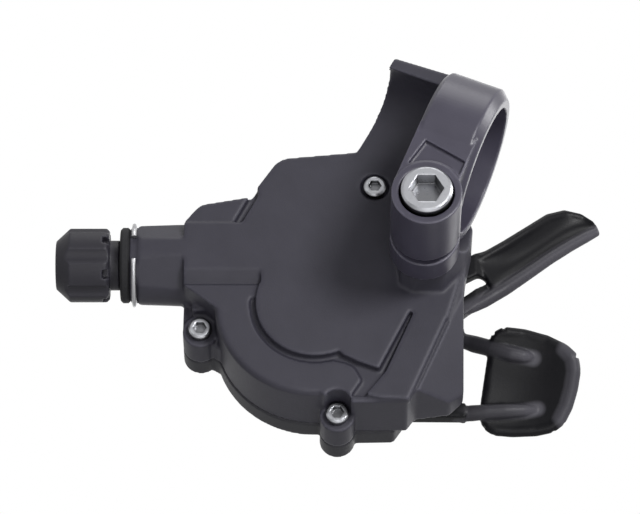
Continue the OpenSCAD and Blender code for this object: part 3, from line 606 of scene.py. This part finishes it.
def makePullLever(settings):
    bowl = settings["bowl"]
    rows = [[(x, bowlDepth(bowl, x, z), z) for x, z in row] for row in settings["outline"]]
    rim = [(x, bowlDepth(bowl, x, z), z, radius) for x, z, radius in settings["rim"]]
    paddle = addShell("paddle", rows, settings["wall"])
    rimBars = [addBar("rim", ends) for ends in zip(rim, rim[1:] + rim[:1])]
    arms = [addBar(name, settings[name]) for name in ("upperArm", "lowerArm")]
    parts = [paddle, *rimBars, *arms]
    placeParts(parts, settings["lean"])
    first, last = settings["highlitRim"]
    # The outer rim and the arms, which get painted highlight
    bright = midPoints(rimBars[first:last] + arms)
    lever = copyNode("pullLeverSkin", "pull_lever")
    cutOff(lever, *settings["cut"])
    joinParts(lever, parts)
    mould(lever, settings["grid"], settings["rounds"])
    markPaintedHighlight(lever, bright, settings["paintedHighlight"])
    giveFinish(lever, "pull_lever")
    return lever


pullLeverSkin = makePullLever(pullLeverSettings)
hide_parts("pull_lever")
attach(pullLeverSkin, "pulling_lever")

print("release lever")

# Places about the pivot: x outboard, y back, z up, in millimetres
releaseLeverSettings = {
    # Planes that trim the root plate: its end, its upper edge and a ramp down to the blade
    "cuts": [
        ((30.8, 0, 0), (1, 0, 0)),
        ((25.9, 0, 15.0), (-0.471, 0, 0.882)),
        ((30.8, 13.4, 0), (0.5, -0.866, 0)),
    ],
    "blade": [
        ((30.3, 12.9, 9.0), (29.9, 13.1, 11.2), (28.7, 12.9, 13.2), (28.2, 12.8, 14.9)),
        ((33.4, 13.2, 10.2), (33.2, 14.6, 12.9), (33.0, 14.7, 15.6), (32.8, 13.4, 18.2)),
        ((37.2, 13.9, 13.3), (37.2, 15.6, 16.0), (37.2, 15.7, 18.9), (37.2, 14.3, 21.7)),
        ((41.0, 14.7, 16.6), (41.0, 16.6, 19.2), (40.9, 16.9, 22.0), (40.8, 15.5, 24.8)),
        ((44.8, 15.5, 19.6), (44.8, 17.3, 21.8), (44.6, 17.9, 24.2), (44.2, 17.0, 26.6)),
        ((47.8, 16.1, 21.7), (47.8, 17.5, 23.0), (47.6, 18.2, 24.6), (47.2, 17.8, 26.2)),
        ((49.6, 16.6, 22.6), (49.7, 17.2, 23.3), (49.6, 17.6, 24.0), (49.3, 17.6, 24.8)),
    ],
    "wall": 1.5,
    "lowerEdge": [
        (25.4, 12.8, 5.0, 0.85), (27.4, 12.8, 6.0, 1.05), (29.4, 12.9, 7.2, 1.2), (33.2, 13.2, 9.9, 1.25),
        (37.2, 13.9, 13.2, 1.15), (41.0, 14.7, 16.5, 1.1), (44.8, 15.5, 19.5, 1.05), (47.6, 16.1, 21.5, 1.0),
        (49.6, 16.7, 22.9, 0.8)],
    "upperEdge": [
        (25.6, 12.8, 13.6, 0.85), (29.0, 12.9, 15.4, 1.0), (33.2, 13.5, 18.4, 0.95), (37.4, 14.4, 21.8, 0.9),
        (41.0, 15.6, 24.9, 0.9), (44.2, 17.0, 26.5, 0.9), (47.2, 17.7, 26.1, 0.9), (49.3, 17.5, 24.5, 0.85),
        (49.7, 16.9, 23.0, 0.8)],
    "grid": 0.19,
    "rounds": 12,
    # Reach, in millimetres, of the painted highlight: full within the first, none beyond the second
    "paintedHighlight": (0.9, 1.8),
}


def makeReleaseLever(settings):
    blade = addShell("blade", settings["blade"], settings["wall"])
    lowerEdge, upperEdge = (addBar(name, settings[name]) for name in ("lowerEdge", "upperEdge"))
    parts = [blade, lowerEdge, upperEdge]
    placeParts(parts, 0)
    # The lower edge, which gets painted highlight
    bright = midPoints([lowerEdge])
    lever = copyNode("releaseLeverSkin", "release_lever")
    for point, normal in settings["cuts"]:
        cutOff(lever, point, normal)
    joinParts(lever, parts)
    mould(lever, settings["grid"], settings["rounds"])
    markPaintedHighlight(lever, bright, settings["paintedHighlight"])
    giveFinish(lever, "release_lever")
    return lever


releaseLeverSkin = makeReleaseLever(releaseLeverSettings)
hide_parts("release_lever")
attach(releaseLeverSkin, "releasing_lever")

print("moulded housing, cover, band and knob")

# Each is a copy of its CAD node with the edges softened as a moulding's are
softSettings = {
    "housingSkin": {
        "node": "housing", "body": "housing_body", "slot": "glass_filled_nylon",
        "grid": 0.27, "rounds": 3, "keep": 0.5},
    "baseCoverSkin": {
        "node": "base_cover", "body": "housing_body", "slot": "matt_nylon",
        "grid": 0.27, "rounds": 3, "keep": 0.6},
    "clampBandSkin": {
        "node": "clamp_band", "body": "housing_body", "slot": "painted_aluminium",
        "grid": 0.15, "rounds": 3, "keep": 0.5},
    "knobSkin": {
        "node": "barrel_adjuster", "body": "adjuster", "slot": "matt_nylon",
        "grid": 0.15, "rounds": 3, "keep": 1},
}


def makeSoftCopy(name, settings):
    piece = copyNode(name, settings["node"])
    mould(piece, settings["grid"], settings["rounds"], settings["keep"])
    giveFinish(piece, settings["node"])
    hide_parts(settings["node"])
    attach(piece, settings["body"])
    print(name)


for name, settings in softSettings.items():
    makeSoftCopy(name, settings)
